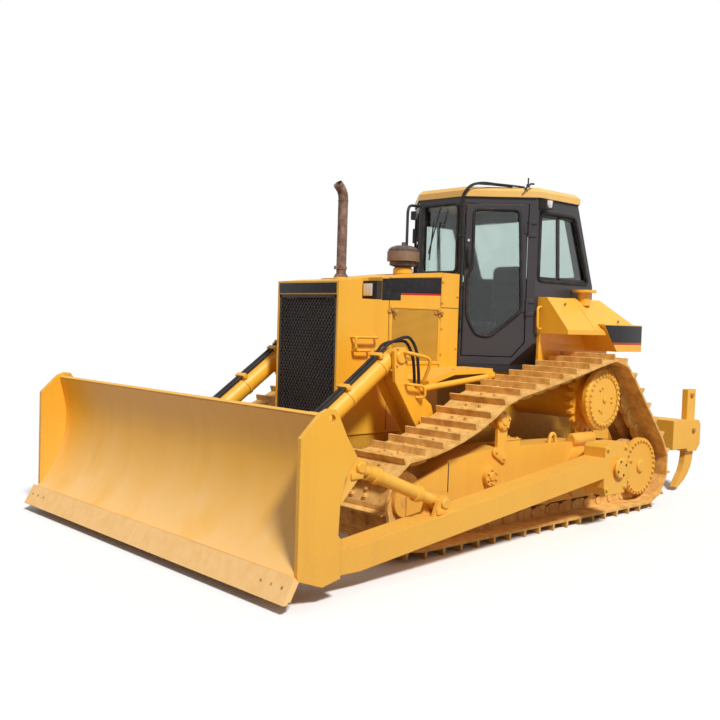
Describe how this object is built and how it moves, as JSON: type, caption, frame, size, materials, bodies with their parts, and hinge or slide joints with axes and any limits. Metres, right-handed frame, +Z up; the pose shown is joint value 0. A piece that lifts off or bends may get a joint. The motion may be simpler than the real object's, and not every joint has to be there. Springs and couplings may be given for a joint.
{
  "type": "crawler bulldozer with ripper",
  "caption": "Tracked bulldozer with an oval-track undercarriage raised at the sprocket, a straight push blade on lift cylinders, a glazed cab with angled doors and a rear ripper.",
  "frame": {"origin": "on the ground, midway between the cutting edge and the rear of the ripper, midway between the tracks", "axes": "+X forward, +Y to the machine's left, +Z up"},
  "size_m": [6.1499, 3.5, 2.89],
  "materials": {
    "yellow_paint": "semi-gloss paint",
    "charcoal_paint": "satin paint",
    "black_steel": "satin paint",
    "cast_iron": "raw casting",
    "track_steel": "worn and dusty",
    "edge_steel": "worn paint",
    "rusty_pipe": "rusted",
    "grey_plastic": "dull",
    "black_plastic": "matte",
    "cab_glass": "clear",
    "seat_fabric": "woven",
    "chromed_rod": "polished"
  },
  "bodies": {
    "tractor": {"main_frame": "yellow_paint", "engine": "cast_iron", "radiator_guard": "yellow_paint", "radiator_core": "cast_iron", "grille": "black_steel", "hood": "yellow_paint", "engine_panels": "yellow_paint", "cowl": "yellow_paint", "exhaust_stack": "rusty_pipe", "precleaner": "grey_plastic", "headlamps": "black_plastic", "lift_brackets": "yellow_paint", "cab_floor": "black_steel", "cab_frame": "charcoal_paint", "cab_roof": "yellow_paint", "cab_glass": "cab_glass", "seat": "seat_fabric", "consoles": "black_plastic", "side_tanks": "yellow_paint", "rear_tank": "yellow_paint", "track_frames": "yellow_paint", "track_left": "track_steel", "track_right": "track_steel", "sprockets": "yellow_paint", "rollers": "track_steel", "steps": "yellow_paint", "work_lamps": "black_plastic", "ripper_bracket": "yellow_paint"},
    "blade": {"blade": "yellow_paint", "end_plates": "yellow_paint", "cutting_edge": "edge_steel", "push_arms": "yellow_paint", "braces": "yellow_paint"},
    "lift_barrels": {"lift_barrels": "yellow_paint"},
    "lift_rods": {"lift_rods": "chromed_rod"},
    "left_door": {"cab_door_left": "charcoal_paint", "door_glass_left": "cab_glass"},
    "right_door": {"cab_door_right": "charcoal_paint", "door_glass_right": "cab_glass"},
    "ripper_lower": {"ripper_lower_link": "yellow_paint"},
    "ripper_tool": {"ripper_beam": "yellow_paint", "ripper_shanks": "yellow_paint"},
    "ripper_upper": {"ripper_upper_link": "yellow_paint"},
    "ripper_barrels": {"ripper_barrels": "yellow_paint"},
    "ripper_rods": {"ripper_rods": "chromed_rod"}
  },
  "joints": [
    {"name": "blade_lift", "type": "hinge", "parent": "tractor", "child": "blade", "pos_m": [-0.5, 0, 0.51], "axis": [0, -1, 0], "range_deg": [-6.5, 16.5]},
    {"name": "lift_swing", "type": "hinge", "parent": "tractor", "child": "lift_barrels", "pos_m": [1.23, 0, 1.394], "axis": [0, -1, 0], "range_deg": [-11.38, 28.89]},
    {"name": "lift_stroke", "type": "slide", "parent": "lift_barrels", "child": "lift_rods", "axis": [0.8134, 0, -0.5817], "range_m": [-0.4382, 0.1729]},
    {"name": "left_door_swing", "type": "hinge", "parent": "tractor", "child": "left_door", "pos_m": [-0.39045, 0.70988, 2], "axis": [0, 0, 1], "range_deg": [0, 115]},
    {"name": "right_door_swing", "type": "hinge", "parent": "tractor", "child": "right_door", "pos_m": [-0.39045, -0.70988, 2], "axis": [0, 0, -1], "range_deg": [0, 115]},
    {"name": "ripper_lift", "type": "hinge", "parent": "tractor", "child": "ripper_lower", "pos_m": [-1.76, 0, 0.62], "axis": [0, 1, 0], "range_deg": [-37, 48]},
    {"name": "ripper_level", "type": "hinge", "parent": "ripper_lower", "child": "ripper_tool", "pos_m": [-2.37986, 0, 0.54], "axis": [0, 1, 0], "range_deg": [-48.01, 37.01]},
    {"name": "ripper_guide", "type": "hinge", "parent": "tractor", "child": "ripper_upper", "pos_m": [-1.76, 0, 0.96], "axis": [0, 1, 0], "range_deg": [-37.01, 48.01]},
    {"name": "ripper_swing", "type": "hinge", "parent": "tractor", "child": "ripper_barrels", "pos_m": [-1.74, 0, 1.4], "axis": [0, 1, 0], "range_deg": [-6.3, 8.17]},
    {"name": "ripper_stroke", "type": "slide", "parent": "ripper_barrels", "child": "ripper_rods", "axis": [-0.4012, 0, -0.916], "range_m": [-0.2518, 0.1942]}
  ],
  "couplings": [
    {"joint": "lift_swing", "follows": "blade_lift", "ratio": 1.75},
    {"joint": "lift_stroke", "follows": "blade_lift", "m_per_rad": -1.52},
    {"joint": "ripper_level", "follows": "ripper_lift", "ratio": -1},
    {"joint": "ripper_guide", "follows": "ripper_lift", "ratio": 1},
    {"joint": "ripper_swing", "follows": "ripper_lift", "ratio": 0.17},
    {"joint": "ripper_stroke", "follows": "ripper_lift", "m_per_rad": -0.3}
  ]
}
